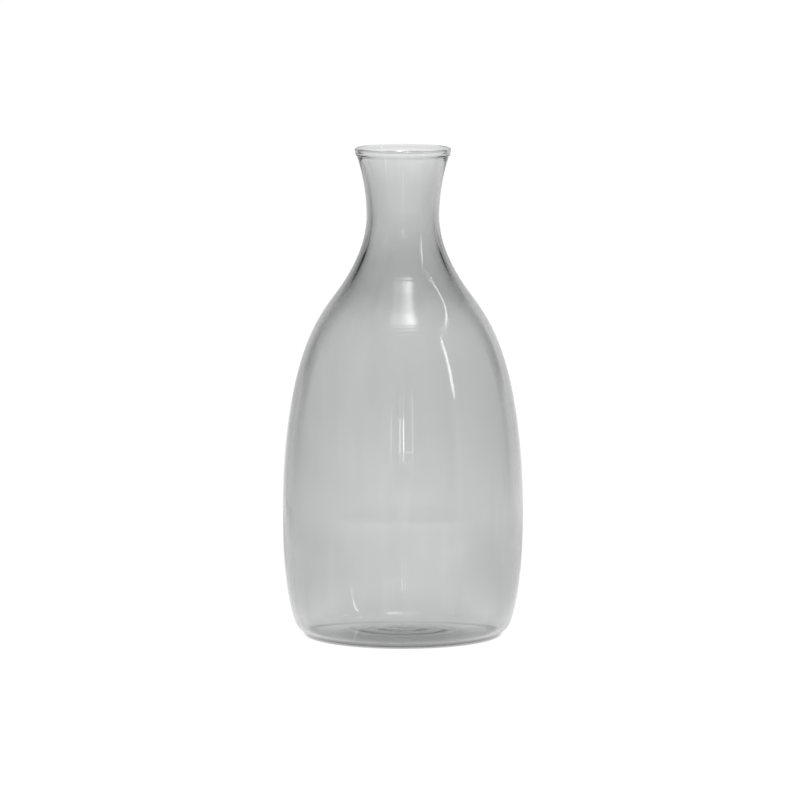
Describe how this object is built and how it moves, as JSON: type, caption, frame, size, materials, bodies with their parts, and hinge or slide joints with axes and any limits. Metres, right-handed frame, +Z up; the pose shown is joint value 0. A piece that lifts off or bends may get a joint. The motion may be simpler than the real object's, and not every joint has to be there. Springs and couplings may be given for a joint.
{
  "type": "bottle vase",
  "caption": "Blown smoke-grey glass bottle vase: a tall rounded body that narrows over a sloping shoulder to a flared neck with a beaded lip, for holding cut stems in water.",
  "frame": {"origin": "centre of the foot ring, on the plane that the vase stands on", "axes": "+Z up along the axis of the vase; it is a turned form, so X and Y are free"},
  "size_m": [0.1232, 0.1232, 0.25],
  "materials": {
    "smoke_glass": "clear smoke-grey glass, fire-polished"
  },
  "bodies": {
    "root": {"base": "smoke_glass", "body": "smoke_glass", "shoulder": "smoke_glass", "neck": "smoke_glass", "lip_ring": "smoke_glass"}
  },
  "joints": []
}
